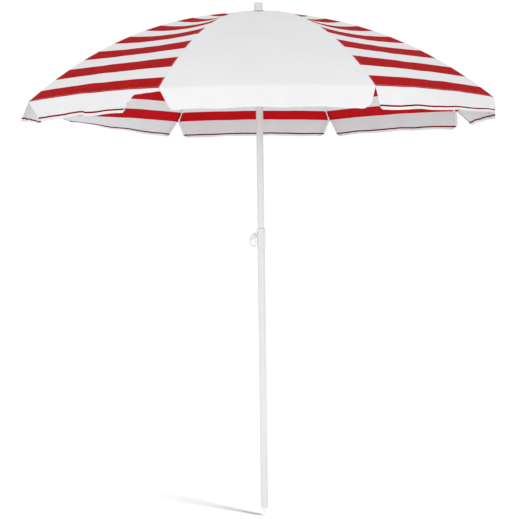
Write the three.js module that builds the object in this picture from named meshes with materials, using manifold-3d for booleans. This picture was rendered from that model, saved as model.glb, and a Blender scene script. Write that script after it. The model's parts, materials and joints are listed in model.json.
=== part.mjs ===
// Beach umbrella, open, standing on its ground spike.
// Millimetres, +Z up the pole, origin at the tip of the spike. The plain front gore faces -Y.
import * as THREE from 'three';
import { mergeVertices } from 'three/addons/utils/BufferGeometryUtils.js';
import Module from 'manifold-3d';

const wasm = await Module();
wasm.setup();

// ---- driving sizes ----
const ribCount = 8;
const gorePitchDeg = 360 / ribCount;
const halfGore = THREE.MathUtils.degToRad(gorePitchDeg / 2);
const fitGap = 0.3;             // clearance between parts that slide or plug together

const rimRadius = 838;          // pole axis to a rib tip
const apexZ = 1822;             // fabric height at the pole axis
const apexFall = 97;            // fall of the straight part of the canopy curve
const rimFall = 243;            // extra fall at the rim from the bend of the ribs
const bendPower = 2.45;         // how late along the rib the bend comes
const fabricThickness = 1;
const fabricHole = 16.5;        // radius of the hole for the pole, along a rib
const goreRows = 13;
const seamGap = 0.3;            // between a half gore and the seam plane over its rib
const foldGap = 0.15;           // between a half gore and the fold plane along its middle
const valanceDrop = 70;         // length of the hanging valance
const valanceFlare = THREE.MathUtils.degToRad(18);
const valanceRows = [22, 40, 56, 65, valanceDrop];
const valanceCorner = 30;       // rounding of its lower corners
const notchSlope = Math.tan(THREE.MathUtils.degToRad(20));

const lowerPole = { outer: 14, inner: 12.8, bottom: 33.3, top: 1032 };
const upperPole = { outer: 12.5, inner: 11.3, bottom: 760, top: 1845.5 };
const spikeShoulderZ = 33;
const spikePlugTop = 80;
const poleSides = 32;

const collar = { bottom: 976, step: 990, top: 1046, neck: 15.3, outer: 16.3 };
const screwZ = 1020;
const screwRadius = 3;
const bossEnd = 18.5;           // reach of the threaded boss from the pole axis
const wingStart = 19;
const wingThickness = 6;

const pivotRadius = 24;         // rib and stretcher pivots, from the pole axis
const ribDepth = 6;             // rib centre line below the fabric
const ribRadius = 2;
const ribEnd = 829;             // plan radius of the fabric point over the rod's end
const eyeRadius = 4;
const eyeWidth = 4;
const eyeHole = 1.5;
const pinRadius = 1.1;
const slotWidth = 5;
const bracketRho = 312;         // plan radius of the fabric point over the stretcher pivot
const bracketDrop = 9;          // stretcher pivot below the rib centre line
const crown = { bottom: 1799, top: 1815.6, outer: 31 };
const runner = { outer: 19, keyway: 16.8, below: 42, above: 10, flange: 31, flangeHalf: 7 };
const catchTravelSlot = { width: 5.2, bottom: 1619, top: 1647 };
const catchBody = { width: 4.4, bottom: 1621, top: 1645, reach: 16 };

// ---- materials ----
const colours = {
  painted_tube: 0xf1f1ef,
  white_plastic: 0xf4f4f2,
  pale_plastic: 0xe3e4e2,
  bright_steel: 0xb9bcc0,
  white_fabric: 0xf3f3f1,
  striped_fabric: 0xd88a8c,
};

const umbrella = new THREE.Group();
umbrella.name = 'beach_umbrella';

function addNode(name, geometry, finish, group = umbrella) {
  const material = new THREE.MeshStandardMaterial({ color: colours[finish], roughness: 0.5 });
  const mesh = new THREE.Mesh(geometry, material);
  mesh.name = name;
  group.add(mesh);
}

// a group whose own +X points outward at this angle, counted from -Y towards +X
function groupFacing(azimuthDeg) {
  const group = new THREE.Group();
  group.rotation.z = THREE.MathUtils.degToRad(azimuthDeg - 90);
  umbrella.add(group);
  return group;
}

// ---- geometry helpers ----
function closedMesh(positions, triangles) {
  const kept = triangles.filter(([a, b, c]) => a !== b && b !== c && c !== a);
  const corner = (i) => new THREE.Vector3(positions[3 * i], positions[3 * i + 1], positions[3 * i + 2]);
  let volume = 0;
  for (const [a, b, c] of kept) {
    volume += corner(a).dot(corner(b).cross(corner(c)));
  }
  const facing = volume < 0 ? kept.map(([a, b, c]) => [a, c, b]) : kept;
  const geometry = new THREE.BufferGeometry();
  geometry.setAttribute('position', new THREE.Float32BufferAttribute(positions, 3));
  geometry.setIndex(facing.flat());
  return geometry;
}

function bare(geometry) {
  geometry.deleteAttribute('normal');
  geometry.deleteAttribute('uv');
  const merged = mergeVertices(geometry, 1e-4);
  const index = merged.index.array;
  const triangles = [];
  for (let i = 0; i < index.length; i += 3) {
    triangles.push([index[i], index[i + 1], index[i + 2]]);
  }
  return closedMesh(Array.from(merged.attributes.position.array), triangles);
}

function solid(geometry) {
  const clean = bare(geometry);
  return new wasm.Manifold(new wasm.Mesh({
    numProp: 3,
    vertProperties: new Float32Array(clean.attributes.position.array),
    triVerts: new Uint32Array(clean.index.array),
  }));
}

function meshOf(manifold) {
  const mesh = manifold.getMesh();
  const triangles = [];
  for (let i = 0; i < mesh.triVerts.length; i += 3) {
    triangles.push([mesh.triVerts[i], mesh.triVerts[i + 1], mesh.triVerts[i + 2]]);
  }
  return closedMesh(Array.from(mesh.vertProperties), triangles);
}

// a turned shape: outline points are [radius, height], the axis is Z
function turned(outline, sides = poleSides) {
  const points = outline.map(([r, z]) => new THREE.Vector2(r, z));
  return bare(new THREE.LatheGeometry(points, sides).rotateX(Math.PI / 2));
}

function tube(inner, outer, bottom, top, sides = poleSides) {
  return turned([[inner, bottom], [outer, bottom], [outer, top], [inner, top], [inner, bottom]], sides);
}

function rodX(radius, x0, x1, z, sides = 20) {
  return new THREE.CylinderGeometry(radius, radius, Math.abs(x1 - x0), sides)
    .rotateZ(Math.PI / 2)
    .translate((x0 + x1) / 2, 0, z);
}

function rodY(radius, x, z, width, sides = 16) {
  return new THREE.CylinderGeometry(radius, radius, width, sides).translate(x, 0, z);
}

function box(x0, x1, y0, y1, z0, z1) {
  return new THREE.BoxGeometry(x1 - x0, y1 - y0, z1 - z0)
    .translate((x0 + x1) / 2, (y0 + y1) / 2, (z0 + z1) / 2);
}

// a flat plate: outline points are [x, z], its thickness is centred on y = 0
function plate(outline, width, hole = null) {
  const shape = new THREE.Shape(outline.map(([x, z]) => new THREE.Vector2(x, z)));
  if (hole) {
    shape.holes.push(new THREE.Path(hole.map(([x, z]) => new THREE.Vector2(x, z))));
  }
  const geometry = new THREE.ExtrudeGeometry(shape, { depth: width, bevelEnabled: false });
  return geometry.rotateX(Math.PI / 2).translate(0, width / 2, 0);
}

// a round rod along a line of [x, z] points in the plane y = 0
function bentRod(line, radius, sides = 8) {
  const positions = [];
  const triangles = [];
  const last = line.length - 1;
  line.forEach(([x, z], i) => {
    const [ax, az] = line[Math.max(i - 1, 0)];
    const [bx, bz] = line[Math.min(i + 1, last)];
    const length = Math.hypot(bx - ax, bz - az);
    const normal = [-(bz - az) / length, (bx - ax) / length];
    for (let k = 0; k < sides; k += 1) {
      const angle = ((k + 0.5) / sides) * 2 * Math.PI;
      const up = radius * Math.cos(angle);
      positions.push(x + up * normal[0], radius * Math.sin(angle), z + up * normal[1]);
    }
  });
  for (let i = 0; i < last; i += 1) {
    for (let k = 0; k < sides; k += 1) {
      const a = i * sides + k;
      const b = i * sides + ((k + 1) % sides);
      triangles.push([a, a + sides, b], [b, a + sides, b + sides]);
    }
  }
  for (let k = 1; k < sides - 1; k += 1) {
    triangles.push([0, k, k + 1]);
    const end = last * sides;
    triangles.push([end, end + k + 1, end + k]);
  }
  return closedMesh(positions, triangles);
}

// one copy of a cutter or pin for each rib, drawn along +X and turned to the rib's direction
function atEachRib(make) {
  return Array.from({ length: ribCount }, (_, i) => (
    solid(make().rotateZ(THREE.MathUtils.degToRad((i - 0.5) * gorePitchDeg - 90)))
  ));
}

// ---- canopy curve ----
function fabricHeight(rho) {
  const t = rho / rimRadius;
  return apexZ - apexFall * t - rimFall * t ** bendPower;
}

function fabricSlope(rho) {
  const t = rho / rimRadius;
  return (apexFall + rimFall * bendPower * t ** (bendPower - 1)) / rimRadius;
}

// a point under the fabric along its normal, in the plane of a rib
function underFabric(rho, depth) {
  const slope = fabricSlope(rho);
  const length = Math.hypot(1, slope);
  return [rho - (depth * slope) / length, fabricHeight(rho) - depth / length];
}

const ribPivot = [pivotRadius, fabricHeight(pivotRadius) - ribDepth];
const stretcherPivot = underFabric(bracketRho, ribDepth + bracketDrop);
const pivotRun = stretcherPivot[0] - ribPivot[0];
const pivotFall = ribPivot[1] - stretcherPivot[1];
const footPivot = [pivotRadius, stretcherPivot[1] - pivotFall];
const stretcherLength = Math.hypot(pivotRun, pivotFall);

// ---- lower pole, spike, collar, thumb screw ----
addNode('ground_spike', turned([
  [0, 0],
  [1.8, 1.2],
  [lowerPole.outer - 0.6, spikeShoulderZ - 1.5],
  [lowerPole.outer, spikeShoulderZ],
  [lowerPole.inner - fitGap, spikeShoulderZ],
  [lowerPole.inner - fitGap, spikePlugTop - 2],
  [lowerPole.inner - 2, spikePlugTop],
  [0, spikePlugTop],
]), 'white_plastic');

const screwHole = rodX(screwRadius + 0.4, -30, 0, screwZ);
const crimp = { width: 2.6, bottom: 943, top: 961, depth: 0.5 };
const crimpCut = box(
  -crimp.width / 2,
  crimp.width / 2,
  -lowerPole.outer - 1,
  -lowerPole.outer + crimp.depth,
  crimp.bottom,
  crimp.top,
);
addNode('lower_pole', meshOf(
  solid(tube(lowerPole.inner, lowerPole.outer, lowerPole.bottom, lowerPole.top))
    .subtract(solid(screwHole))
    .subtract(solid(crimpCut)),
), 'painted_tube');

const collarBore = lowerPole.outer + fitGap;
const collarLip = lowerPole.top + fitGap;
const collarBody = turned([
  [collarBore, collar.bottom],
  [collar.neck - 0.5, collar.bottom],
  [collar.neck, collar.bottom + 1],
  [collar.neck, collar.step],
  [collar.outer, collar.step + 1.5],
  [collar.outer, collar.top - 2],
  [collar.outer - 1.5, collar.top],
  [upperPole.outer + fitGap, collar.top],
  [upperPole.outer + fitGap, collarLip],
  [collarBore, collarLip],
  [collarBore, collar.bottom],
], 40);
const boss = solid(rodX(7, -bossEnd, -collarBore - 0.8, screwZ)).subtract(solid(screwHole));
addNode('height_collar', meshOf(solid(collarBody).add(boss).subtract(solid(screwHole))), 'white_plastic');

// the wing hangs from the screw like a flat loop, with a hole for a finger
const wingOutline = [
  [-wingStart, screwZ + 17],
  [-25, screwZ + 14],
  [-33, screwZ + 6],
  [-39, screwZ - 1],
  [-42.5, screwZ - 9],
  [-43.5, screwZ - 18],
  [-42, screwZ - 28],
  [-37, screwZ - 36.5],
  [-29, screwZ - 42],
  [-wingStart - 2, screwZ - 44],
  [-wingStart, screwZ - 42],
];
const wingHole = [
  [-23.5, screwZ - 16],
  [-32.5, screwZ - 15],
  [-35, screwZ - 18],
  [-35, screwZ - 27],
  [-32, screwZ - 31.5],
  [-24.5, screwZ - 32.5],
  [-22.5, screwZ - 30],
  [-22.5, screwZ - 18],
];
const wing = solid(plate(wingOutline, wingThickness, wingHole));
const wingHub = solid(rodX(8, -wingStart, -27, screwZ, 24));
const shank = solid(rodX(screwRadius, -wingStart - 2, -upperPole.outer - fitGap, screwZ));
addNode('thumb_screw', meshOf(wing.add(wingHub).add(shank)), 'pale_plastic');

// ---- upper pole and what is fixed to it ----
const catchSlot = box(
  -catchTravelSlot.width / 2,
  catchTravelSlot.width / 2,
  0,
  upperPole.outer + 5,
  catchTravelSlot.bottom,
  catchTravelSlot.top,
);
addNode('upper_pole', meshOf(
  solid(tube(upperPole.inner, upperPole.outer, upperPole.bottom, upperPole.top)).subtract(solid(catchSlot)),
), 'painted_tube');

const poleBore = upperPole.outer + fitGap;
const ribSlot = () => box(poleBore + 5.5, crown.outer + 10, -slotWidth / 2, slotWidth / 2, 1790, 1830);
let crownBody = solid(turned([
  [poleBore, crown.bottom],
  [crown.outer - 3, crown.bottom],
  [crown.outer, crown.bottom + 3],
  [crown.outer, crown.top],
  [poleBore, crown.top],
  [poleBore, crown.bottom],
]));
for (const slot of atEachRib(ribSlot)) {
  crownBody = crownBody.subtract(slot);
}
for (const pin of atEachRib(() => rodY(pinRadius, ...ribPivot, slotWidth + 0.6, 10))) {
  crownBody = crownBody.add(pin);
}
addNode('crown', meshOf(crownBody), 'white_plastic');

addNode('canopy_washer', turned([
  [poleBore, apexZ - 0.6],
  [25, apexZ - 0.6],
  [25.4, apexZ + 0.2],
  [24.4, apexZ + 1.2],
  [poleBore, apexZ + 1.6],
  [poleBore, apexZ - 0.6],
], 40), 'white_plastic');

const finial = { outer: 15.3, bottom: apexZ + 2, boreTop: upperPole.top + 0.7, top: 1853 };
addNode('finial', turned([
  [poleBore, finial.bottom],
  [finial.outer, finial.bottom],
  [finial.outer, finial.top - 3],
  [finial.outer - 1, finial.top - 1],
  [finial.outer - 3, finial.top],
  [0, finial.top],
  [0, finial.boreTop],
  [poleBore, finial.boreTop],
  [poleBore, finial.bottom],
]), 'white_plastic');

// a sprung button that stands out of a slot in the pole, under the open runner
addNode('runner_catch', meshOf(solid(plate([
  [catchBody.reach, catchBody.top],
  [9, catchBody.top],
  [9, catchBody.bottom],
  [upperPole.outer + 0.4, catchBody.bottom],
  [catchBody.reach, catchBody.top - 6],
], catchBody.width)).rotate([0, 0, 90])), 'bright_steel');

// ---- runner ----
const footZ = footPivot[1];
let runnerBody = solid(turned([
  [poleBore, footZ - runner.below],
  [runner.outer - 1, footZ - runner.below],
  [runner.outer, footZ - runner.below + 1],
  [runner.outer, footZ - runner.flangeHalf],
  [runner.flange, footZ - runner.flangeHalf],
  [runner.flange, footZ + runner.flangeHalf],
  [runner.outer, footZ + runner.flangeHalf],
  [runner.outer, footZ + runner.above],
  [poleBore, footZ + runner.above],
  [poleBore, footZ - runner.below],
]));
const footSlot = () => box(
  runner.outer + fitGap,
  runner.flange + 10,
  -slotWidth / 2,
  slotWidth / 2,
  footZ - 20,
  footZ + 20,
);
for (const slot of atEachRib(footSlot)) {
  runnerBody = runnerBody.subtract(slot);
}
const keyway = box(-3, 3, 0, runner.keyway, footZ - runner.below - 5, footZ + runner.above + 5);
addNode('runner', meshOf(runnerBody.subtract(solid(keyway))), 'white_plastic');

// ---- one rib set, drawn in the plane y = 0 with +X outward ----
function eye([x, z]) {
  return solid(rodY(eyeRadius, x, z, eyeWidth, 14));
}

function eyeBore([x, z]) {
  return solid(rodY(eyeHole, x, z, eyeWidth + 4, 10));
}

const ribSteps = 14;
const ribLine = Array.from({ length: ribSteps + 1 }, (_, i) => (
  underFabric(pivotRadius + ((ribEnd - pivotRadius) * i) / ribSteps, ribDepth)
));
ribLine[0] = [ribPivot[0] + eyeHole + 1, ribPivot[1] - 0.3];
const rib = meshOf(
  solid(bentRod(ribLine, ribRadius)).add(eye(ribPivot)).subtract(eyeBore(ribPivot)),
);

const tipFrom = ribLine[ribSteps];
const tipBack = ribLine[ribSteps - 1];
const tipTurn = Math.atan2(tipBack[1] - tipFrom[1], tipFrom[0] - tipBack[0]);
const tipBore = ribRadius + fitGap;
const tipOuter = 3.2;
// turned about Z with the rod's end at height 0, then laid along the end of the rib
const ribTip = turned([
  [tipBore, -14],
  [tipOuter - 0.4, -14],
  [tipOuter, -13],
  [tipOuter, 2.5],
  [tipOuter - 1.2, 4.2],
  [0, 4.8],
  [0, 0.4],
  [tipBore, 0.4],
  [tipBore, -14],
], 12).rotateY(Math.PI / 2).rotateY(tipTurn).translate(tipFrom[0], 0, tipFrom[1]);

// a crimped clevis under the rib, with its pin through the eye of the stretcher
const bracketHalfLength = 10;
const bracketWidth = 8.4;
const bracketOutline = [
  [-bracketHalfLength, 3],
  [-bracketHalfLength, -3.4],
  [-5.5, -5],
  [-4, -bracketDrop - 1],
  [-2, -bracketDrop - 3.6],
  [2, -bracketDrop - 3.6],
  [4, -bracketDrop - 1],
  [5.5, -5],
  [bracketHalfLength, -3.4],
  [bracketHalfLength, 3],
];
const clevisSlot = box(-20, 20, -slotWidth / 2, slotWidth / 2, -bracketDrop - 10, -3.4);
const ribBore = rodX(ribRadius + fitGap, -20, 20, 0, 12);
const bracketTurn = Math.atan2(fabricSlope(bracketRho), 1);
const bracketAt = underFabric(bracketRho, ribDepth);
const bracket = meshOf(
  solid(plate(bracketOutline, bracketWidth))
    .subtract(solid(clevisSlot))
    .subtract(solid(ribBore))
    .add(solid(rodY(pinRadius, 0, -bracketDrop, slotWidth + 0.6, 10))),
).rotateY(bracketTurn).translate(bracketAt[0], 0, bracketAt[1]);

const along = (share) => [
  footPivot[0] + pivotRun * share,
  footPivot[1] + pivotFall * share,
];
const rodStart = (eyeHole + 1) / stretcherLength;
const stretcher = meshOf(
  solid(bentRod([along(rodStart), along(1 - rodStart)], ribRadius))
    .add(eye(footPivot))
    .add(eye(stretcherPivot))
    .subtract(eyeBore(footPivot))
    .subtract(eyeBore(stretcherPivot)),
);

// ---- half gores: the fabric from a seam to the middle fold, with its half of the valance ----
const rimM = rimRadius * Math.cos(halfGore);

// rows across the panel: distance from the pole, height, and length of valance above
function goreProfile() {
  const rows = [];
  for (let i = 0; i <= goreRows; i += 1) {
    const rho = fabricHole + ((rimRadius - fabricHole) * i) / goreRows;
    rows.push({ m: rho * Math.cos(halfGore), z: fabricHeight(rho), drop: 0 });
  }
  for (const drop of valanceRows) {
    rows.push({
      m: rimM + drop * Math.sin(valanceFlare),
      z: fabricHeight(rimRadius) - drop * Math.cos(valanceFlare),
      drop,
    });
  }
  return rows;
}

function cornerCut(drop) {
  const into = Math.max(drop - (valanceDrop - valanceCorner), 0);
  return valanceCorner - Math.sqrt(valanceCorner ** 2 - into ** 2);
}

function seamReach(row, m) {
  if (row.drop === 0) {
    return m * Math.tan(halfGore) - seamGap;
  }
  return rimM * Math.tan(halfGore) - seamGap - row.drop * notchSlope - cornerCut(row.drop);
}

function halfGorePanel(side) {
  const rows = goreProfile();
  const positions = [];
  const triangles = [];
  rows.forEach((row, i) => {
    const before = rows[Math.max(i - 1, 0)];
    const after = rows[Math.min(i + 1, rows.length - 1)];
    const length = Math.hypot(after.m - before.m, after.z - before.z);
    const normal = [(before.z - after.z) / length, (after.m - before.m) / length];
    for (const level of [fabricThickness / 2, -fabricThickness / 2]) {
      const m = row.m + normal[0] * level;
      const z = row.z + normal[1] * level;
      positions.push(m, side * foldGap, z, m, side * seamReach(row, m), z);
    }
  });
  // four corners a row: top at the fold, top at the seam, underside at the fold, underside at the seam
  for (let i = 0; i < rows.length - 1; i += 1) {
    const a = 4 * i;
    for (const [p, q] of [[0, 1], [1, 3], [3, 2], [2, 0]]) {
      triangles.push([a + p, a + q, a + 4 + q], [a + p, a + 4 + q, a + 4 + p]);
    }
  }
  const end = 4 * (rows.length - 1);
  triangles.push([0, 3, 1], [0, 2, 3], [end, end + 1, end + 3], [end, end + 3, end + 2]);
  return closedMesh(positions, triangles);
}

const leftHalf = halfGorePanel(-1);
const rightHalf = halfGorePanel(1);
for (let k = 1; k <= ribCount; k += 1) {
  const ribSet = groupFacing((k - 1.5) * gorePitchDeg);
  addNode(`rib_${k}`, rib.clone(), 'painted_tube', ribSet);
  addNode(`rib_tip_${k}`, ribTip.clone(), 'white_plastic', ribSet);
  addNode(`rib_bracket_${k}`, bracket.clone(), 'white_plastic', ribSet);
  addNode(`stretcher_${k}`, stretcher.clone(), 'painted_tube', ribSet);
  const gore = groupFacing((k - 1) * gorePitchDeg);
  const cloth = k === 1 ? 'white_fabric' : 'striped_fabric';
  addNode(`gore_${k}_left`, leftHalf.clone(), cloth, gore);
  addNode(`gore_${k}_right`, rightHalf.clone(), cloth, gore);
}

export default umbrella;
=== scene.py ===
"""A beach umbrella, open and standing on its spike. The CAD frame holds the places and the motion;
this script makes the fine surfaces, the cloth and the materials. Metres, in the frame's own axes."""
import json
import math

import bmesh
import bpy
import numpy as np
from mathutils import Matrix, Vector


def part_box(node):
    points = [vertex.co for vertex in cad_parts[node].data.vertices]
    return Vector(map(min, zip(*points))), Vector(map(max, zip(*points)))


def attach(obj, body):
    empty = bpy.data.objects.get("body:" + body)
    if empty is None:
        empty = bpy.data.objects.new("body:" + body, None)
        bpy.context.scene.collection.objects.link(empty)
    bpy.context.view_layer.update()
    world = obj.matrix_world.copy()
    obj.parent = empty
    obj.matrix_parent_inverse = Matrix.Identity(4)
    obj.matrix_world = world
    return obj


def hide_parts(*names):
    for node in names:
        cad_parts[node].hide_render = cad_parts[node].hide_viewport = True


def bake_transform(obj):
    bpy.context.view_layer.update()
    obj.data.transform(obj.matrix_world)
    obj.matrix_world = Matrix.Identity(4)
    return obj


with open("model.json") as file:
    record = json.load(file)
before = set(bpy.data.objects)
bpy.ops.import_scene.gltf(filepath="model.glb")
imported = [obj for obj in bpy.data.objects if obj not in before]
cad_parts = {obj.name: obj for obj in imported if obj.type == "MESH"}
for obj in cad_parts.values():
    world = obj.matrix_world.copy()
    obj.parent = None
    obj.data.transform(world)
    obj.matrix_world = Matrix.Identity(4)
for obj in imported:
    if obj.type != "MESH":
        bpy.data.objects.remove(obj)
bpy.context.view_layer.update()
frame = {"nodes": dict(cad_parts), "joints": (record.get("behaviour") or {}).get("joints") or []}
joints = {joint["name"]: joint for joint in frame["joints"]}
scene = bpy.context.scene

# ---- driving sizes ----
GORES = 8
PITCH = 2 * math.pi / GORES
HALF = PITCH / 2
COS_HALF, SIN_HALF = math.cos(HALF), math.sin(HALF)
RIM = 0.838                    # pole axis to a rib tip
APEX_Z = 1.822
APEX_FALL, RIM_FALL, BEND = 0.097, 0.243, 2.45
HOLE = 0.0165                  # where the fabric starts, under the washer
SAG, SAG_SPAN = 0.0125, 0.83   # between two ribs the cloth sags by this, and rises near the rim
VALANCE = 0.070
SEAM_GAP = 0.0003
CLOTH = 0.00045                # thickness of the polyester
ALLOWANCE = 0.009              # cloth turned under along a seam or hem
LAYER = 0.0009                 # from a layer of cloth to the one turned under it

STRIPE_PITCH, STRIPE_WIDTH = 0.1215, 0.0610
STRIPE_CUT = 0.0040            # the rim seam cuts this much off the lowest stripe
HEM_LINE, HEM_LINE_WIDTH = 0.0108, 0.0054
DYE_BLEED, LINE_WANDER = 0.0010, 0.004
YARN_PITCH = 0.0011
STITCH, STITCH_GAP, THREAD = 0.0026, 0.0014, 0.00022
RIB_DEPTH, RIB_RADIUS, RIB_START, RIB_END = 0.006, 0.002, 0.04, 0.829
EYE_REACH = 0.0032             # from a pivot to the end of its rod
PLAIN_GORE = 1                 # the others are striped
POLE_SIDES = 96


def fabric_height(rho):
    t = rho / RIM
    return APEX_Z - APEX_FALL * t - RIM_FALL * t ** BEND


def fabric_slope(rho):
    t = rho / RIM
    return (APEX_FALL + RIM_FALL * BEND * t ** (BEND - 1)) / RIM


def azimuth_of_rib(k):
    return (k - 1.5) * PITCH


def azimuth_of_gore(k):
    return (k - 1) * PITCH


def facing(azimuth):
    """Turns local +X to point outward at this azimuth, counted from -Y towards +X."""
    return Matrix.Rotation(azimuth - math.pi / 2, 4, "Z")


# ---- node materials ----
class Nodes:
    """A material's node tree around one Principled shader."""

    def __init__(self, name, **sockets):
        self.material = bpy.data.materials.new(name)
        self.material.use_nodes = True
        self.tree = self.material.node_tree
        self.shader = self.tree.nodes["Principled BSDF"]
        for socket, value in sockets.items():
            self.shader.inputs[socket.replace("_", " ")].default_value = value

    def add(self, kind, **settings):
        node = self.tree.nodes.new(kind)
        for key, value in settings.items():
            setattr(node, key, value)
        return node

    def link(self, source, target):
        self.tree.links.new(source, target)

    def math(self, operation, a, b=None, c=None):
        node = self.add("ShaderNodeMath", operation=operation)
        for i, value in enumerate((a, b, c)):
            if value is None:
                continue
            if isinstance(value, (int, float)):
                node.inputs[i].default_value = value
            else:
                self.link(value, node.inputs[i])
        return node.outputs[0]

    def noise(self, coordinate, scale, detail=3.0, stretch=(1, 1, 1)):
        place = self.add("ShaderNodeMapping")
        place.inputs["Scale"].default_value = stretch
        self.link(coordinate, place.inputs["Vector"])
        node = self.add("ShaderNodeTexNoise")
        node.inputs["Scale"].default_value = scale
        node.inputs["Detail"].default_value = detail
        self.link(place.outputs[0], node.inputs["Vector"])
        return node.outputs["Fac"]

    def spread(self, value, low, high):
        """Stretches a noise, most of which lies between 0.3 and 0.7, to reach from low to high."""
        node = self.add("ShaderNodeMapRange")
        self.link(value, node.inputs["Value"])
        node.inputs["From Min"].default_value = 0.3
        node.inputs["From Max"].default_value = 0.7
        node.inputs["To Min"].default_value = low
        node.inputs["To Max"].default_value = high
        return node.outputs[0]

    def mix(self, share, a, b):
        node = self.add("ShaderNodeMix", data_type="RGBA")
        self.link(share, node.inputs["Factor"])
        for socket, value in ((node.inputs["A"], a), (node.inputs["B"], b)):
            if isinstance(value, tuple):
                socket.default_value = (*value, 1)
            else:
                self.link(value, socket)
        return node.outputs["Result"]

    def bump(self, height, depth, after=None, strength=1.0):
        node = self.add("ShaderNodeBump")
        node.inputs["Distance"].default_value = depth
        node.inputs["Strength"].default_value = strength
        self.link(height, node.inputs["Height"])
        if after is not None:
            self.link(after, node.inputs["Normal"])
        return node.outputs[0]

    def set(self, socket, value):
        self.link(value, self.shader.inputs[socket])


def painted_tube():
    """White powder coat on steel tube: gloss with fine orange peel, and faint rub marks along the tube."""
    n = Nodes("painted_tube", Coat_Weight=0.35, Coat_Roughness=0.12, IOR=1.5)
    at = n.add("ShaderNodeTexCoord").outputs["Object"]
    cloud = n.noise(at, 9, 4)
    rubbed = n.noise(at, 160, 3, (1, 1, 0.06))
    n.set("Base Color", n.mix(n.spread(cloud, 0, 1), (0.645, 0.65, 0.65), (0.685, 0.685, 0.685)))
    n.set("Roughness", n.spread(rubbed, 0.24, 0.36))
    peel = n.bump(n.noise(at, 900, 2), 0.00006)
    n.set("Normal", n.bump(rubbed, 0.00004, peel))
    return n.material


def moulded_plastic(name, low, high, roughness, grain):
    """Injection-moulded plastic with a fine sparked grain and slightly uneven gloss."""
    n = Nodes(name, IOR=1.46, Subsurface_Weight=0.05, Subsurface_Scale=0.002)
    at = n.add("ShaderNodeTexCoord").outputs["Object"]
    n.set("Base Color", n.mix(n.spread(n.noise(at, 60, 3), 0, 1), low, high))
    n.set("Roughness", n.spread(n.noise(at, 220, 3), roughness - 0.05, roughness + 0.05))
    flow = n.bump(n.noise(at, 45, 2, (1, 1, 0.4)), 0.00012)
    n.set("Normal", n.bump(n.noise(at, 1600, 2), grain, flow))
    return n.material


def bright_steel():
    """Plated spring steel with fine drawing marks."""
    n = Nodes("bright_steel", Metallic=1.0)
    at = n.add("ShaderNodeTexCoord").outputs["Object"]
    marks = n.noise(at, 900, 3, (1, 1, 0.05))
    n.set("Base Color", n.mix(n.spread(n.noise(at, 90, 2), 0, 1), (0.55, 0.56, 0.58), (0.66, 0.67, 0.68)))
    n.set("Roughness", n.spread(marks, 0.24, 0.42))
    n.set("Normal", n.bump(marks, 0.00003))
    return n.material


def cloth(name, striped, white, red, line_shade):
    """Plain-weave polyester, printed in stripes that run parallel to the hem. white and red are its two
    shades, and line_shade is how dark the thin line over the hem is. The map holds metres: u across the
    gore, v up from the valance's lower edge."""
    n = Nodes(name, Specular_IOR_Level=0.02)
    uv = n.add("ShaderNodeUVMap", uv_map="cloth").outputs[0]
    parts = n.add("ShaderNodeSeparateXYZ")
    n.link(uv, parts.inputs[0])
    u, v = parts.outputs[0], parts.outputs[1]
    slub = n.noise(uv, 700, 2, (0.06, 1, 1))
    colour = n.mix(n.spread(n.noise(uv, 5, 3), 0, 1), shade(white, 0.975), shade(white, 1.02))
    colour = n.mix(n.spread(slub, 0, 0.5), colour, shade(white, 0.93))
    if striped:
        colour = printed(n, uv, v, slub, colour, red, line_shade)
    n.set("Base Color", colour)
    n.set("Roughness", n.spread(n.noise(uv, 40, 3), 0.58, 0.70))
    yarn = 2 * math.pi / YARN_PITCH
    across = n.math("SINE", n.math("MULTIPLY", u, yarn))
    along = n.math("SINE", n.math("MULTIPLY", v, yarn))
    weave = n.bump(n.math("MULTIPLY", across, along), 0.00006)
    soft = n.bump(n.noise(uv, 14, 4), 0.0016, weave)
    n.set("Normal", n.bump(n.noise(uv, 55, 3, (1, 0.35, 1)), 0.0004, soft))
    return n.material


def printed(n, uv, v, slub, ground, red, line_shade):
    """The red stripes above the rim's seam, and the thin line over the hem, on the ground colour."""
    dyed = n.mix(n.spread(n.noise(uv, 7, 3), 0, 1), shade(red, 0.94), shade(red, 1.06))
    dyed = n.mix(n.spread(slub, 0, 0.5), dyed, shade(red, 0.80))
    bleed = n.math("MULTIPLY", n.math("SUBTRACT", n.noise(uv, 900, 2), 0.5), DYE_BLEED)
    above = n.math("SUBTRACT", n.math("ADD", v, bleed), VALANCE)
    into = n.math("FLOORED_MODULO", n.math("ADD", above, STRIPE_CUT), STRIPE_PITCH)
    within = n.math("LESS_THAN", into, STRIPE_WIDTH)
    stripe = n.math("MULTIPLY", within, n.math("GREATER_THAN", above, 0.0))
    wander = n.math("MULTIPLY", n.math("SUBTRACT", n.noise(uv, 11, 2, (1, 0, 0)), 0.5), LINE_WANDER)
    from_line = n.math("ABSOLUTE", n.math("SUBTRACT", n.math("ADD", v, wander), HEM_LINE))
    line = n.math("LESS_THAN", from_line, HEM_LINE_WIDTH / 2)
    striped = n.mix(stripe, ground, dyed)
    return n.mix(line, striped, shade(red, line_shade))


def shade(colour, by):
    return tuple(min(value * by, 1.0) for value in colour)


def thread():
    """Twisted polyester sewing thread."""
    n = Nodes("thread", Sheen_Weight=0.3, Roughness=0.55)
    at = n.add("ShaderNodeTexCoord").outputs["Object"]
    n.set("Base Color", n.mix(n.spread(n.noise(at, 300, 2), 0, 1), (0.70, 0.70, 0.71), (0.84, 0.84, 0.83)))
    n.set("Normal", n.bump(n.noise(at, 3000, 2), 0.00005))
    return n.material


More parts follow.
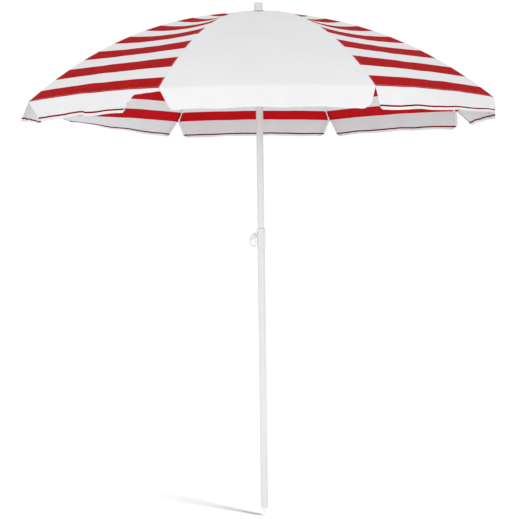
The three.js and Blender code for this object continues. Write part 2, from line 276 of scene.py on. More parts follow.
TUBE = painted_tube()
WHITE_PLASTIC = moulded_plastic("white_plastic", (0.78, 0.785, 0.785), (0.83, 0.83, 0.825), 0.34, 0.00002)
PALE_PLASTIC = moulded_plastic("pale_plastic", (0.66, 0.675, 0.67), (0.71, 0.72, 0.715), 0.46, 0.00004)
GREY_PLASTIC = moulded_plastic("grey_white_plastic", (0.66, 0.66, 0.665), (0.70, 0.70, 0.70), 0.36, 0.00002)
STEEL = bright_steel()
# The back skin's colours hold painted light: its white is darker as painted shade under the canopy, its red
# lighter as painted light shining through the cloth, and its hem line darker as painted shade.
WHITE_FACE, WHITE_BACK_SHADED = (0.72, 0.72, 0.73), (0.635, 0.655, 0.66)
RED_FACE, RED_BACK_LIT_THROUGH = (0.385, 0.0035, 0.0060), (0.44, 0.0050, 0.0090)
CLOTHS = {
    striped: (
        cloth(f"{name}_face", striped, WHITE_FACE, RED_FACE, 0.50),
        cloth(f"{name}_back", striped, WHITE_BACK_SHADED, RED_BACK_LIT_THROUGH, 0.30),
    )
    for name, striped in (("plain_cloth", False), ("striped_cloth", True))
}
THREAD_YARN = thread()


# ---- mesh helpers ----
def new_piece(name, points, faces, material, place=Matrix.Identity(4)):
    mesh = bpy.data.meshes.new(name)
    mesh.from_pydata([tuple(place @ Vector(p)) for p in points], [], faces)
    mesh.update()
    mesh.polygons.foreach_set("use_smooth", [True] * len(mesh.polygons))
    piece = bpy.data.objects.new(name, mesh)
    scene.collection.objects.link(piece)
    piece.data.materials.append(material)
    return piece


def turn_faces_outward(piece, crisp):
    """Makes the faces agree on which side is out, and keeps edges over this many degrees crisp."""
    shape = bmesh.new()
    shape.from_mesh(piece.data)
    bmesh.ops.recalc_face_normals(shape, faces=shape.faces[:])
    shape.to_mesh(piece.data)
    shape.free()
    piece.data.set_sharp_from_angle(angle=math.radians(crisp))


def stands_for(piece, body, slot, *nodes):
    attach(piece, body)
    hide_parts(*nodes)
    return piece


def add_bevel(piece, width, segments=3, angle=30):
    bevel = piece.modifiers.new("bevel", "BEVEL")
    bevel.width = width
    bevel.segments = segments
    bevel.limit_method = "ANGLE"
    bevel.angle_limit = math.radians(angle)
    bevel.harden_normals = True


ON_AXIS = 1e-9


def lathe_mesh(outline, sides):
    """Points and faces of a shape turned about Z. A closed outline makes a ring; one that starts and
    ends on the axis makes a solid."""
    points, rows = [], []
    for r, z in outline:
        if r < ON_AXIS:
            rows.append([len(points)] * sides)
            points.append((0, 0, z))
            continue
        rows.append([len(points) + i for i in range(sides)])
        for i in range(sides):
            turn = 2 * math.pi * i / sides
            points.append((r * math.cos(turn), r * math.sin(turn), z))
    closed = outline[0][0] > ON_AXIS
    pairs = list(zip(rows, rows[1:])) + ([(rows[-1], rows[0])] if closed else [])
    faces = []
    for low, high in pairs:
        for i in range(sides):
            j = (i + 1) % sides
            corners = [low[i], low[j], high[j], high[i]]
            kept = [c for n, c in enumerate(corners) if c not in corners[:n]]
            if len(kept) > 2:
                faces.append(kept)
    return points, faces


def fillet(outline, radius, steps=4):
    """Rounds the corners of an outline of (r, z) points, apart from those on the axis."""
    rounded = []
    closed = outline[0][0] > ON_AXIS
    count = len(outline)
    for i, (r, z) in enumerate(outline):
        if not closed and i in (0, count - 1):
            rounded.append((r, z))
            continue
        here = Vector((r, z))
        before = Vector(outline[i - 1]) - here
        after = Vector(outline[(i + 1) % count]) - here
        reach = min(radius, before.length * 0.45, after.length * 0.45)
        start, end = here + before.normalized() * reach, here + after.normalized() * reach
        for s in range(steps + 1):
            t = s / steps
            p = start * (1 - t) ** 2 + here * 2 * t * (1 - t) + end * t ** 2
            rounded.append((p.x, p.y))
    return rounded


def rod_mesh(line, radius, sides=20):
    """A round rod along a line of points, with flat ends."""
    line = [Vector(p) for p in line]
    points, faces = [], []
    for i, p in enumerate(line):
        way = (line[min(i + 1, len(line) - 1)] - line[max(i - 1, 0)]).normalized()
        side = Vector((0, 1, 0))
        up = way.cross(side).normalized()
        side = up.cross(way)
        for s in range(sides):
            turn = 2 * math.pi * s / sides
            points.append(tuple(p + up * radius * math.cos(turn) + side * radius * math.sin(turn)))
    for i in range(len(line) - 1):
        for s in range(sides):
            a, b = i * sides + s, i * sides + (s + 1) % sides
            faces.append([a, b, b + sides, a + sides])
    faces.append(list(range(sides))[::-1])
    faces.append([(len(line) - 1) * sides + s for s in range(sides)])
    return points, faces


def joined(*meshes):
    points, faces = [], []
    for more_points, more_faces in meshes:
        start = len(points)
        points += more_points
        faces += [[start + i for i in face] for face in more_faces]
    return points, faces


def moved(mesh, place):
    points, faces = mesh
    return [tuple(place @ Vector(p)) for p in points], faces


# ---- poles and what is on them ----
LOWER_BORE, UPPER_BORE = 0.0128, 0.0113
LOWER_FIT, UPPER_FIT = 0.0143, 0.0128      # bores of what goes round the lower and the upper tube


def band(node):
    """Lowest and highest point of a node, and its radius."""
    low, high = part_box(node)
    return low.z, high.z, high.x


def tube_piece(name, body, inner, node):
    low, high, outer = band(node)
    outline = fillet([(inner, low), (outer, low), (outer, high), (inner, high)], 0.0005, 3)
    piece = new_piece(name, *lathe_mesh(outline, POLE_SIDES), TUBE)
    return stands_for(piece, body, "painted_tube", node)


def make_spike():
    """A blunt cone, and the plug above its shoulder that sits inside the lower tube."""
    low, high, _ = band("ground_spike")
    shoulder, radius, plug = 0.033, 0.014, 0.0125
    outline = [
        (0, low),
        (0.0011, low + 0.0005),
        (radius * 0.62, low + shoulder * 0.62),
        (radius, shoulder - 0.0006),
        (radius, shoulder),
        (plug, shoulder),
        (plug, high - 0.003),
        (0.0105, high),
        (0, high),
    ]
    mesh = lathe_mesh(fillet(outline, 0.0007), POLE_SIDES)
    piece = new_piece("ground_spike_moulding", *mesh, WHITE_PLASTIC)
    stands_for(piece, "lower", "white_plastic", "ground_spike")


COLLAR_BOTTOM, COLLAR_STEP, COLLAR_TOP = 0.976, 0.990, 1.046
COLLAR_LEDGE = 1.0323          # where the bore narrows, over the lower tube's end
COLLAR_NECK, COLLAR_OUTER = 0.0153, 0.0163
SCREW_Z, BOSS_END, BOSS_LENGTH, BOSS_BORE = 1.020, 0.0185, 0.0037, 0.0034


def make_collar():
    """The clamp collar: a stepped sleeve with a moulded lip, a parting bead and a boss for the screw."""
    outline = [
        (LOWER_FIT, COLLAR_BOTTOM),
        (COLLAR_NECK - 0.0004, COLLAR_BOTTOM),
        (COLLAR_NECK, COLLAR_BOTTOM + 0.001),
        (COLLAR_NECK, COLLAR_STEP - 0.0006),
        (COLLAR_OUTER, COLLAR_STEP + 0.0006),
        (COLLAR_OUTER, COLLAR_STEP + 0.006),
        (COLLAR_OUTER - 0.0003, COLLAR_STEP + 0.0066),
        (COLLAR_OUTER - 0.0003, COLLAR_TOP - 0.0086),
        (COLLAR_OUTER, COLLAR_TOP - 0.008),
        (COLLAR_OUTER, COLLAR_TOP - 0.002),
        (COLLAR_OUTER - 0.0015, COLLAR_TOP),
        (UPPER_FIT, COLLAR_TOP),
        (UPPER_FIT, COLLAR_LEDGE),
        (LOWER_FIT, COLLAR_LEDGE),
    ]
    body = lathe_mesh(fillet(outline, 0.0006, 3), POLE_SIDES)
    boss_outline = [
        (BOSS_BORE, 0),
        (0.0070, 0),
        (0.0070, BOSS_LENGTH - 0.0005),
        (0.0066, BOSS_LENGTH),
        (BOSS_BORE, BOSS_LENGTH),
    ]
    boss = lathe_mesh(fillet(boss_outline, 0.0004, 3), 48)
    start = Matrix.Translation((-BOSS_END + BOSS_LENGTH, 0, SCREW_Z))
    outward = start @ Matrix.Rotation(-math.pi / 2, 4, "Y")
    piece = new_piece("height_collar_moulding", *joined(body, moved(boss, outward)), GREY_PLASTIC)
    stands_for(piece, "lower", "white_plastic", "height_collar")


def smooth_loop(corners, steps):
    """A closed Catmull-Rom curve through the corner points."""
    count = len(corners)
    loop = []
    for i in range(count):
        a, b, c, d = (Vector(corners[(i + j - 1) % count]) for j in range(4))
        for s in range(steps):
            t = s / steps
            p = 0.5 * ((2 * b) + (c - a) * t + (2 * a - 5 * b + 4 * c - d) * t * t
                       + (3 * b - a - 3 * c + d) * t ** 3)
            loop.append((p.x, p.y))
    return loop


HUB_RADIUS, RIDGES, RIDGE_RADIUS = 0.0078, 36, 0.00028
WING_START, WING_HALF, WING_ROUND = 0.019, 0.0030, 0.0012
WING_OUTLINE = [
    (0.0198, 0.0155), (0.0245, 0.0142), (0.0330, 0.0060), (0.0390, -0.0010),
    (0.0425, -0.0090), (0.0433, -0.0180), (0.0418, -0.0280), (0.0370, -0.0362),
    (0.0290, -0.0415), (0.0215, -0.0432), (0.0197, -0.0400), (0.0196, -0.0120),
]
WING_HOLE = [
    (0.0240, -0.0165), (0.0300, -0.0150), (0.0348, -0.0190), (0.0350, -0.0262),
    (0.0318, -0.0315), (0.0258, -0.0325), (0.0228, -0.0300), (0.0226, -0.0200),
]


def wing_plate():
    """A flat loop with a finger hole. Both of its rims are rounded."""
    outer, inner = smooth_loop(WING_OUTLINE, 8), smooth_loop(WING_HOLE, 12)
    count = len(outer)
    sections = []
    for side in (-1, 1):
        turns = np.linspace(math.pi / 2, 0, 5)
        rim = [
            (WING_ROUND * (1 - math.cos(t)), side * (WING_HALF - WING_ROUND * (1 - math.sin(t))))
            for t in turns
        ]
        sections += rim if side < 0 else rim[::-1]
    points, faces = [], []
    for loop, inward in ((outer, 1), (inner, -1)):
        for inset, y in sections:
            for i, (x, z) in enumerate(loop):
                way = (Vector(loop[(i + 1) % count]) - Vector(loop[i - 1])).normalized()
                normal = Vector((-way.y, way.x))
                place = Vector((x, z)) - normal * inset * inward * turn_sign(loop)
                points.append((-place.x, y, SCREW_Z + place.y))
    rows = len(sections)

    def index(which, row, i):
        return (which * rows + row) * count + i % count

    for i in range(count):
        for row in range(rows - 1):
            a, b = row, row + 1
            faces.append([index(0, a, i), index(0, a, i + 1), index(0, b, i + 1), index(0, b, i)])
            faces.append([index(1, a, i), index(1, b, i), index(1, b, i + 1), index(1, a, i + 1)])
    return points, faces


def turn_sign(loop):
    """1 if the loop runs clockwise, else -1."""
    area = sum(a[0] * b[1] - b[0] * a[1] for a, b in zip(loop, loop[1:] + loop[:1]))
    return 1 if area < 0 else -1


def fill_wing_faces(piece):
    """Closes the two flat faces between the rounded rims of the wing and of its hole."""
    shape = bmesh.new()
    shape.from_mesh(piece.data)
    for side in (-1, 1):
        rims = [e for e in shape.edges if e.is_boundary and all(v.co.y * side > 0 for v in e.verts)]
        bmesh.ops.triangle_fill(shape, edges=rims, use_beauty=True)
    shape.to_mesh(piece.data)
    shape.free()


def make_wing():
    """The screw's wing, with a knurled hub and the end of its shank."""
    outward = Matrix.Translation((-WING_START, 0, SCREW_Z)) @ Matrix.Rotation(-math.pi / 2, 4, "Y")
    hub_outline = [(0, 0), (HUB_RADIUS, 0), (HUB_RADIUS, 0.0062), (0.0056, 0.0080), (0, 0.0084)]
    hub = lathe_mesh(fillet(hub_outline, 0.0006), 48)
    ridges = []
    for i in range(RIDGES):
        turn = 2 * math.pi * i / RIDGES
        x, y = HUB_RADIUS * math.cos(turn), HUB_RADIUS * math.sin(turn)
        ridges.append(rod_mesh([(x, y, 0.0008), (x, y, 0.0056)], RIDGE_RADIUS, 6))
    radius, top, end = 0.003, 0.0005, -0.0060
    shank = lathe_mesh(fillet([(0, top), (radius, top), (radius, end), (0, end)], 0.0003), 32)
    mesh = joined(wing_plate(), moved(joined(hub, *ridges, shank), outward))
    piece = new_piece("thumb_screw_wing", *mesh, PALE_PLASTIC)
    fill_wing_faces(piece)
    turn_faces_outward(piece, 50)
    stands_for(piece, "thumb", "pale_plastic", "thumb_screw")


def make_washer():
    low, high, outer = band("canopy_washer")
    flat = 0.0250
    outline = [
        (UPPER_FIT, low),
        (flat, low),
        (outer, low + 0.0008),
        (outer - 0.0010, high - 0.0004),
        (UPPER_FIT, high),
    ]
    mesh = lathe_mesh(fillet(outline, 0.0005), POLE_SIDES)
    piece = new_piece("canopy_washer_moulding", *mesh, WHITE_PLASTIC)
    stands_for(piece, "upper", "white_plastic", "canopy_washer")


def make_finial():
    """A push-on cap with a soft rim, a faint waist line and a shallow dished top."""
    low, high, outer = band("finial")
    waist, dish, ceiling = outer - 0.0004, high - 0.0004, high - 0.0060
    outside = [
        (UPPER_FIT, low),
        (outer, low),
        (outer, low + 0.0050),
        (waist, low + 0.0056),
        (waist, low + 0.0064),
        (outer, low + 0.0070),
        (outer, high - 0.0030),
        (outer - 0.0022, dish),
        (outer - 0.0040, high),
        (0.0100, high),
        (0.0090, dish),
        (0, dish),
    ]
    socket = [(0, ceiling), (UPPER_FIT, ceiling)]
    mesh = lathe_mesh(fillet(outside, 0.0007) + socket, POLE_SIDES)
    piece = new_piece("finial_cap", *mesh, GREY_PLASTIC)
    stands_for(piece, "upper", "white_plastic", "finial")


def finish_cad_part(node, material, bevel):
    """Keeps a CAD node and gives it bevelled edges and a real finish."""
    part = frame["nodes"][node]
    part.data.materials.clear()
    part.data.materials.append(material)
    part.data.polygons.foreach_set("use_smooth", [True] * len(part.data.polygons))
    weld = part.modifiers.new("weld", "WELD")
    weld.merge_threshold = 0.00001
    add_bevel(part, bevel)


def make_pole_parts():
    tube_piece("lower_pole_tube", "lower", LOWER_BORE, "lower_pole")
    tube_piece("upper_pole_tube", "upper", UPPER_BORE, "upper_pole")
    make_spike()
    make_collar()
    make_wing()
    make_washer()
    make_finial()
    finish_cad_part("crown", WHITE_PLASTIC, 0.0004)
    finish_cad_part("runner", WHITE_PLASTIC, 0.0005)
    finish_cad_part("runner_catch", STEEL, 0.0003)


# ---- ribs and stretchers ----
EYE_BORE, EYE_OUTER, EYE_HALF = 0.0015, 0.0040, 0.0017


def under_fabric(rho, depth):
    """The place this deep under the seam's curve, measured square to the cloth."""
    slope = fabric_slope(rho)
    length = math.hypot(1, slope)
    return rho - depth * slope / length, fabric_height(rho) - depth / length


def eye_mesh(x, z):
    """A flattened, punched eye around a pivot that lies along local Y."""
    ring = [(EYE_BORE, -EYE_HALF), (EYE_OUTER, -EYE_HALF), (EYE_OUTER, EYE_HALF), (EYE_BORE, EYE_HALF)]
    place = Matrix.Translation((x, 0, z)) @ Matrix.Rotation(math.pi / 2, 4, "X")
    return moved(lathe_mesh(fillet(ring, 0.0005, 3), 40), place)


def local_pivot(joint):
    """A joint's place in the plane of the rib at this azimuth, as (distance outward, height)."""
    x, y, z = joints[joint]["pos_m"]
    return math.hypot(x, y), z


def make_rib(k):
    pivot = local_pivot(f"rib_{k}_fold")
    line = [(pivot[0] + EYE_REACH, 0, pivot[1] - 0.0004)]
    for rho in np.linspace(RIB_START, RIB_END, 60):
        x, z = under_fabric(rho, RIB_DEPTH)
        line.append((x, 0, z))
    mesh = joined(rod_mesh(line, RIB_RADIUS), eye_mesh(*pivot))
    piece = new_piece(f"rib_{k}_rod", *mesh, TUBE, facing(azimuth_of_rib(k)))
    stands_for(piece, f"rib_{k}", "painted_tube", f"rib_{k}")
    finish_cad_part(f"rib_bracket_{k}", WHITE_PLASTIC, 0.0004)
    finish_cad_part(f"rib_tip_{k}", WHITE_PLASTIC, 0.0003)


def make_stretcher(k):
    """A straight rod from its bracket down to the runner, whose pivot lies right under the crown's."""
    top = local_pivot(f"stretcher_{k}_fold")
    crown = local_pivot(f"rib_{k}_fold")
    foot = (crown[0], 2 * top[1] - crown[1])
    way = Vector((top[0] - foot[0], 0, top[1] - foot[1])).normalized()
    start = Vector((foot[0], 0, foot[1])) + way * EYE_REACH
    end = Vector((top[0], 0, top[1])) - way * EYE_REACH
    mesh = joined(rod_mesh([start, start.lerp(end, 0.5), end], RIB_RADIUS), eye_mesh(*foot), eye_mesh(*top))
    piece = new_piece(f"stretcher_{k}_rod", *mesh, TUBE, facing(azimuth_of_rib(k)))
    stands_for(piece, f"stretcher_{k}", "painted_tube", f"stretcher_{k}")


# ---- canopy ----
# Each half gore is one closed shell. A place on it is (along, w): along runs down the seam's plan radius
# to RIM and on down the valance, and w runs across the whole gore from -1 to 1.
ARC_RHO = np.linspace(0, RIM, 2000)
ARC = np.concatenate([[0], np.cumsum(np.hypot(np.diff(ARC_RHO), np.diff(fabric_height(ARC_RHO))))])
EDGE = RIM + VALANCE
FINE = 0.0012                  # step for slopes, which also rounds the crease at the rim
FINE_ACROSS = 0.002            # the same across the gore, in w
PULL = 0.0007                  # height of the shallow pull lines
PUCKER, PUCKER_PITCH, PUCKER_REACH = 0.00028, 0.021, 0.014
FLAP_WAVE, LONG_WAVE, SHORT_WAVE = 0.0032, 0.165, 0.083
HEM_WAVE, HEM_WAVE_LENGTH = 0.0012, 0.19
LEAN, LEAN_AT = 0.006, 0.3     # a flap's end stands out by up to this, this far from its middle


def fold_rise(rho):
    """How much higher than straight across the cloth lies half way between two ribs."""
    return SAG * (math.sin(math.pi * HOLE / (SAG_SPAN * RIM)) - np.sin(np.pi * rho / (SAG_SPAN * RIM)))


def height_on_cloth(along):
    """Distance up the cloth from the valance's lower edge."""
    rho = np.minimum(along, RIM)
    return VALANCE - np.maximum(along - RIM, 0) + ARC[-1] - np.interp(rho, ARC_RHO, ARC)


class End:
    """How a valance flap hangs at one of its ends."""

    def __init__(self, flare=18, notch=20, corner=0.024, lift=0.0, tucked=False):
        self.flare, self.notch = math.radians(flare), math.tan(math.radians(notch))
        self.corner = corner
        self.lift = lift           # of the cloth off its rib, half way down
        self.tucked = tucked


RIB_8_LIFT = 0.008
HANGING = {
    1: (End(notch=26, corner=0.010), End(notch=15)),
    2: (End(flare=10, notch=12, corner=0.013), End(flare=38, notch=42, corner=0.010)),
    3: (End(flare=8, notch=10, corner=0.010), End(flare=38, notch=38, corner=0.010)),
    4: (End(notch=8, corner=0.030), End(corner=0.016)),
    5: (End(corner=0.016), End(corner=0.016)),
    6: (End(flare=28, notch=20, corner=0.014), End(flare=78, notch=60, corner=0.030)),
    7: (End(flare=66, notch=10, corner=0.010), End(flare=27, notch=6, corner=0.006, lift=RIB_8_LIFT)),
    8: (End(flare=8, notch=47, corner=0.012, lift=RIB_8_LIFT), End(flare=16, notch=10, tucked=True)),
}
# A tucked end is folded back along a line that lies TUCK_TIP below the rim at the gore's edge, TUCK_DEEP
# at TUCK_START from the edge, and runs out past the hem over the next TUCK_TURN.
TUCK_START, TUCK_TURN, TUCK_DEEP, TUCK_TIP, TUCK_BEND = 0.105, 0.055, 0.015, 0.005, 0.0025
TUCK_PAST_HEM = 0.02
TUCK_BEHIND, TUCK_BEHIND_TIP = 0.006, 0.007     # how far inside the turned part hangs, and the tip beyond it


class Gore:
    """The cloth of one gore in its own frame: +X outward along the middle, +Y across."""

    def __init__(self, k):
        draw = np.random.default_rng(100 + k)
        self.phase = draw.uniform(0, 2 * np.pi, 8)
        self.lean = draw.uniform(-LEAN, LEAN)
        self.left, self.right = HANGING[k]

    def at_end(self, name, w):
        """A hanging value of the end that w lies towards."""
        return np.where(w < 0, getattr(self.left, name), getattr(self.right, name))

    def half_width(self, along, w):
        """Half of the gore's width, with the valance's notch and its rounded lower corner."""
        drop = np.clip(along - RIM, 0, VALANCE)
        corner = self.at_end("corner", w)
        into = np.maximum(drop - (VALANCE - corner), 0)
        cut = corner - np.sqrt(np.maximum(corner ** 2 - into ** 2, 0))
        return np.minimum(along, RIM) * SIN_HALF - SEAM_GAP - drop * self.at_end("notch", w) - cut

    def ripple(self, rho, w):
        """Shallow pull lines, and puckers where a seam gathers the cloth."""
        t = rho / RIM
        pull = np.sin(9 * w + 4 * t + self.phase[0]) + 0.6 * np.sin(17 * w - 7 * t + self.phase[1])
        off_seam = (1 - np.abs(w)) * rho * SIN_HALF
        pucker = np.exp(-(off_seam / PUCKER_REACH) ** 2) * np.minimum(off_seam / 0.003, 1)
        return (PULL * t ** 2 * (1 - w ** 2) ** 2 * pull
                + PUCKER * pucker * np.sin(2 * np.pi * rho / PUCKER_PITCH + self.phase[2]))

    def tuck(self, drop, y, w):
        """Turns the lower part of a tucked end up inside: its new place down the flap, and its depth in."""
        from_end = np.maximum(RIM * SIN_HALF - y, 0)
        turn = np.clip((from_end - TUCK_START) / TUCK_TURN, 0, 1)
        fold_at = TUCK_TIP + (TUCK_DEEP - TUCK_TIP) * np.minimum(from_end / TUCK_START, 1)
        fold_at = fold_at + (VALANCE + TUCK_PAST_HEM - TUCK_DEEP) * turn * turn * (3 - 2 * turn)
        past = drop - fold_at
        turned = fold_at - (np.hypot(past, TUCK_BEND) - TUCK_BEND)
        reach = TUCK_BEHIND + TUCK_BEHIND_TIP * (1 - np.minimum(from_end / TUCK_START, 1))
        depth = reach * (1 + np.tanh(past / TUCK_BEND)) / 2
        chosen = self.at_end("tucked", w) & (drop > 0)
        return np.where(chosen, turned, drop), np.where(chosen, depth, 0.0)

    def surface(self, rho, drop, y, w):
        """The untucked cloth at a distance rho out to the rim and a length drop down the valance."""
        slope = fabric_slope(rho) / COS_HALF
        length = np.hypot(1, slope)
        lift = self.left.lift * (1 - w) / 2 + self.right.lift * (1 + w) / 2
        rise = fold_rise(rho) * (1 - w ** 2) + self.ripple(rho, w) + lift * np.sin(np.pi * rho / RIM)
        loose = np.clip(drop / VALANCE, 0, 1.05) ** 1.5
        long_wave = np.sin(2 * np.pi * y / LONG_WAVE + self.phase[3])
        wave = long_wave + 0.55 * np.sin(2 * np.pi * y / SHORT_WAVE + self.phase[4])
        flare = self.left.flare * (1 - w) / 2 + self.right.flare * (1 + w) / 2
        out = drop * np.sin(flare) + loose * (FLAP_WAVE * wave + self.lean * y / LEAN_AT)
        hem_wave = np.sin(2 * np.pi * y / HEM_WAVE_LENGTH + self.phase[5])
        down = drop * np.cos(flare) + HEM_WAVE * loose * hem_wave
        x = rho * COS_HALF + rise * slope / length + out
        return np.stack([x, y, fabric_height(rho) + rise / length - down], -1)

    def point(self, along, w):
        drop = np.maximum(along - RIM, 0)
        y = w * self.half_width(along, w)
        if not (self.left.tucked or self.right.tucked):
            return self.surface(np.minimum(along, RIM), drop, y, w)
        drop, depth = self.tuck(drop, y, w)
        place = self.surface(np.minimum(along, RIM) + np.minimum(drop, 0), np.maximum(drop, 0), y, w)
        inward = np.stack([-depth, np.zeros_like(depth), -0.4 * depth], -1)
        return place + inward

    def frame_at(self, along, w):
        """The point, and the unit vectors down the cloth, across it and out of it."""
        down = self.point(along + FINE, w) - self.point(along - FINE, w)
        middle, way = self.point(along, w), np.where(w < 0, -FINE_ACROSS, FINE_ACROSS)
        across = (self.point(along, w + way) - middle) * np.sign(way)[..., None]
        down /= np.linalg.norm(down, axis=-1, keepdims=True)
        across /= np.linalg.norm(across, axis=-1, keepdims=True)
        normal = np.cross(across, -down)
        normal /= np.linalg.norm(normal, axis=-1, keepdims=True)
        return middle, down, across, normal


# The steps of a turned edge: how far back from the edge each lies, and how many layers under the cloth.
# Half a layer under is the bend itself, where the shell's thickness points past the edge.
AT_BEND, UNDER = 0.5, 1.0
TURNED = ((-0.0003, AT_BEND), (0.0009, UNDER), (0.003, UNDER), (0.006, UNDER), (ALLOWANCE, UNDER))
ROWS, VALANCE_ROWS, COLUMNS = 92, 20, 42
ROW_CROWDING, COLUMN_CROWDING = 1.2, 1.3        # over 1 brings them closer towards the rim and the seam
MOST_TURNED = 0.4              # of the width, near the hole, where it is too narrow for the allowance


def half_gore_mesh(gore, side):
    """The shell of one half gore, with its seam allowance and its hem turned under. Gives its points,
    its faces (the outer skin, the inner skin, then the walls), its map and the number of walls."""
    canopy_rows = RIM - (RIM - HOLE) * (1 - np.linspace(0, 1, ROWS)) ** ROW_CROWDING
    along = np.concatenate([canopy_rows, RIM + VALANCE * np.linspace(0, 1, VALANCE_ROWS)[1:],
                            [EDGE - back for back, _ in TURNED]])
    row_turn = np.concatenate([np.zeros(ROWS + VALANCE_ROWS - 1), [turn for _, turn in TURNED]])
    shares = 1 - (1 - np.linspace(0, 1, COLUMNS)) ** COLUMN_CROWDING
    widths = gore.half_width(along, side)[:, None]
    turned = [1 - np.minimum(back, MOST_TURNED * widths) / widths for back, _ in TURNED]
    w = np.concatenate([np.broadcast_to(shares, (len(along), COLUMNS)), *turned], axis=1) * side
    column_turn = np.concatenate([np.zeros(COLUMNS), [turn for _, turn in TURNED]])
    row_turn, column_turn = row_turn[:, None], column_turn[None, :]
    along = np.broadcast_to(along[:, None], w.shape)
    middle, down, across, normal = gore.frame_at(along, w)
    middle = middle - normal * (LAYER * (row_turn + 2 * column_turn))[..., None]
    flip = np.where((row_turn == UNDER) ^ (column_turn == UNDER), -1.0, 1.0)
    skin = normal * flip[..., None]
    skin = skin * ((row_turn != AT_BEND) & (column_turn != AT_BEND))[..., None]
    skin = skin + down * np.where(row_turn == AT_BEND, 1.0, 0.0)[..., None]
    skin = skin + side * across * np.where(column_turn == AT_BEND, 1.0, 0.0)[..., None]
    skin /= np.linalg.norm(skin, axis=-1, keepdims=True)
    outer, inner = middle + skin * CLOTH / 2, middle - skin * CLOTH / 2
    points = np.concatenate([outer.reshape(-1, 3), inner.reshape(-1, 3)])
    maps = np.stack([w * widths, height_on_cloth(along)], -1).reshape(-1, 2)
    index = np.arange(w.size).reshape(w.shape)
    a, b, c, d = index[:-1, :-1], index[:-1, 1:], index[1:, 1:], index[1:, :-1]
    top = np.stack([a, d, c, b], -1).reshape(-1, 4)
    faces = [top, (top + index.size)[:, ::-1]]
    rim = np.concatenate([index[0, :-1], index[:-1, -1], index[-1, :0:-1], index[:0:-1, 0]])
    after = np.roll(rim, -1)
    walls = np.stack([rim, after, after + index.size, rim + index.size], -1)
    faces = np.concatenate([*faces, walls])
    if side < 0:
        faces = faces[:, ::-1]
    return points, faces, np.concatenate([maps, maps]), len(walls)


THREAD_SIDES = 5


def stitch_run(start, end, length):
    """Start, middle and end of each stitch along a straight run on the cloth."""
    count = max(int(length / (STITCH + STITCH_GAP)), 1)
    share = (np.arange(count)[:, None] + np.array([0.15, 0.5, 0.85])) / count
    return np.array(start) + share[..., None] * (np.array(end) - np.array(start))


def stitches(gore, side):
    """Top stitching beside the seam, above the hem and above the rim: small raised threads."""
    seam, hem, corner = 0.0045, 0.0075, 0.030
    runs = []
    steps = np.linspace(HOLE + 0.012, EDGE - 0.034, 40)
    for low, high in zip(steps, steps[1:]):
        places = [(along, side * (1 - seam / gore.half_width(along, side))) for along in (low, high)]
        runs.append(stitch_run(*places, float(height_on_cloth(low) - height_on_cloth(high))))
    for along, margin in ((EDGE - hem, corner), (RIM - seam, seam)):
        reach = side * (1 - margin / gore.half_width(along, side))
        runs.append(stitch_run((along, 0.0), (along, reach), float(gore.half_width(along, side))))
    places = np.concatenate(runs)
    middle, _, _, normal = gore.frame_at(places[..., 0], places[..., 1])
    way = middle[:, 2] - middle[:, 0]
    way = (way / np.linalg.norm(way, axis=-1, keepdims=True))[:, None, :]
    sideways = np.cross(normal, np.broadcast_to(way, normal.shape))
    lift = np.array([-0.2, 0.55, -0.2])[None, :, None] * THREAD    # both ends dip into the cloth
    centre = middle + normal * (CLOTH / 2 + lift)
    turns = np.arange(THREAD_SIDES) * 2 * np.pi / THREAD_SIDES
    ring = sideways[:, :, None] * np.cos(turns)[:, None] + normal[:, :, None] * np.sin(turns)[:, None]
    points = (centre[:, :, None] + ring * THREAD).reshape(-1, 3)
    faces = []
    around = list(range(THREAD_SIDES))
    for s in range(len(places)):
        start, half, end = ((3 * s + row) * THREAD_SIDES for row in range(3))
        for low, high in ((start, half), (half, end)):
            for i in around:
                j = (i + 1) % THREAD_SIDES
                faces.append([low + i, low + j, high + j, high + i])
        faces.append([start + i for i in around][::-1])
        faces.append([end + i for i in around])
    return points, faces


def cloth_piece(name, gore, side, place, materials):
    """One half gore and its stitches. Its face, its back and its thread have a material each."""
    points, faces, maps, walls = half_gore_mesh(gore, side)
    thread_points, thread_faces = stitches(gore, side)
    every = np.concatenate([points, thread_points]) @ np.array(place.to_3x3()).T
    thread_faces = [[i + len(points) for i in face] for face in thread_faces]
    mesh = bpy.data.meshes.new(name)
    mesh.from_pydata(every.tolist(), [], faces.tolist() + thread_faces)
    mesh.polygons.foreach_set("use_smooth", [True] * len(mesh.polygons))
    back, yarn, skins = 1, 2, len(faces) - walls
    material_index = np.zeros(len(mesh.polygons), np.int32)
    material_index[skins // 2:skins] = back
    material_index[len(faces):] = yarn
    mesh.polygons.foreach_set("material_index", material_index)
    layer = mesh.uv_layers.new(name="cloth")
    corners = np.zeros(len(mesh.loops), np.int32)
    mesh.loops.foreach_get("vertex_index", corners)
    maps = np.concatenate([maps, np.zeros((len(thread_points), 2))])
    layer.data.foreach_set("uv", maps[corners].ravel().astype(np.float32))
    mesh.update()
    mesh.set_sharp_from_angle(angle=math.radians(75))
    piece = bpy.data.objects.new(name, mesh)
    scene.collection.objects.link(piece)
    for material in materials:
        mesh.materials.append(material)
    return piece


def make_half_gore(k, side):
    name = f"gore_{k}_{'left' if side < 0 else 'right'}"
    plain = k == PLAIN_GORE
    materials = (*CLOTHS[not plain], THREAD_YARN)
    piece = cloth_piece(name + "_cloth", Gore(k), side, facing(azimuth_of_gore(k)), materials)
    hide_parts(name)
    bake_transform(piece)


# ---- studio ----
SKY = 1.03
FLOOR_RADIUS = 60
FLOOR_LIGHT, FLOOR_LIGHT_ANGLE = 5.7, math.radians(13)
FLOOR_LIGHT_TILT, FLOOR_LIGHT_WAY = math.radians(42), (-0.756, 0.655, 0)
POLE_PIECES = ("lower_pole_tube", "ground_spike_moulding", "height_collar_moulding", "upper_pole_tube")


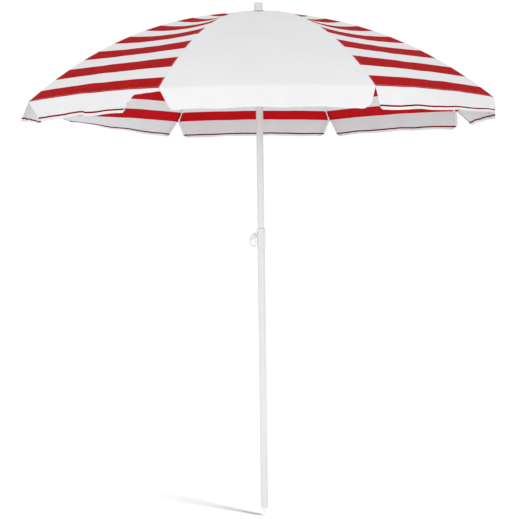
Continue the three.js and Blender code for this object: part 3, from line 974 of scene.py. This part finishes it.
def area_light(name, place, aim, size, power):
    light = bpy.data.lights.new(name, "AREA")
    light.shape = "DISK"
    light.size = size
    light.energy = power
    lamp = bpy.data.objects.new(name, light)
    lamp.location = place
    lamp.rotation_euler = (Vector(aim) - Vector(place)).to_track_quat("-Z", "Y").to_euler()
    scene.collection.objects.link(lamp)


def collection_of(name, objects):
    collection = bpy.data.collections.new(name)
    for member in objects:
        collection.objects.link(member)
    return collection


def make_floor_light(floor):
    """Whitens the floor alone. Only the pole blocks it, which leaves one soft streak from its foot."""
    light = bpy.data.lights.new("floor_light", "SUN")
    light.energy = FLOOR_LIGHT
    light.angle = FLOOR_LIGHT_ANGLE
    lamp = bpy.data.objects.new("floor_light", light)
    level = Vector(FLOOR_LIGHT_WAY) * math.cos(FLOOR_LIGHT_TILT)
    towards = level - Vector((0, 0, math.sin(FLOOR_LIGHT_TILT)))
    lamp.rotation_euler = towards.to_track_quat("-Z", "Y").to_euler()
    scene.collection.objects.link(lamp)
    lamp.light_linking.receiver_collection = collection_of("floor_only", [floor])
    pole = [bpy.data.objects[name] for name in POLE_PIECES]
    lamp.light_linking.blocker_collection = collection_of("pole_only", pole)


def make_studio():
    bpy.ops.mesh.primitive_circle_add(vertices=128, radius=FLOOR_RADIUS, fill_type="NGON", location=(0, 0, 0))
    floor = bpy.context.object
    floor.name = "studio_floor"
    n = Nodes("studio_floor", Roughness=0.9, Specular_IOR_Level=0.0)
    at = n.add("ShaderNodeTexCoord").outputs["Object"]
    n.set("Base Color", n.mix(n.spread(n.noise(at, 2, 3), 0, 1), (0.506, 0.506, 0.51), (0.514, 0.514, 0.518)))
    floor.data.materials.append(n.material)
    world = bpy.data.worlds.new("studio")
    world.use_nodes = True
    world.node_tree.nodes["Background"].inputs["Color"].default_value = (1, 1, 1, 1)
    world.node_tree.nodes["Background"].inputs["Strength"].default_value = SKY
    scene.world = world
    canopy = (0, 0, 1.5)
    area_light("key", place=(1.5, -3.1, 1.5), aim=canopy, size=1.6, power=14)
    area_light("fill", place=(-1.9, -2.9, 1.4), aim=canopy, size=1.6, power=12)
    make_floor_light(floor)
    scene.view_settings.view_transform = "Standard"


LENS, SENSOR = 84.69, 36       # millimetres
CAMERA_DISTANCE, CAMERA_HEIGHT, CAMERA_SIDE = 4.4, 1.1483, math.radians(1.8)
CAMERA_TILT, CAMERA_ROLL, CAMERA_YAW = math.radians(2.785), math.radians(0.72), math.radians(0.089)


def make_camera():
    lens = bpy.data.cameras.new("camera")
    lens.lens = LENS
    lens.sensor_width = SENSOR
    camera = bpy.data.objects.new("camera", lens)
    across, back = math.sin(CAMERA_SIDE), math.cos(CAMERA_SIDE)
    place = (-CAMERA_DISTANCE * across, -CAMERA_DISTANCE * back, CAMERA_HEIGHT)
    yaw = Matrix.Rotation(CAMERA_YAW - CAMERA_SIDE, 4, "Z")
    turn = yaw @ Matrix.Rotation(math.pi / 2 - CAMERA_TILT, 4, "X")
    camera.matrix_world = Matrix.Translation(place) @ turn @ Matrix.Rotation(-CAMERA_ROLL, 4, "Z")
    scene.collection.objects.link(camera)
    scene.camera = camera


make_camera()
make_pole_parts()
for k in range(1, GORES + 1):
    make_rib(k)
    make_stretcher(k)
    make_half_gore(k, -1)
    make_half_gore(k, 1)
make_studio()
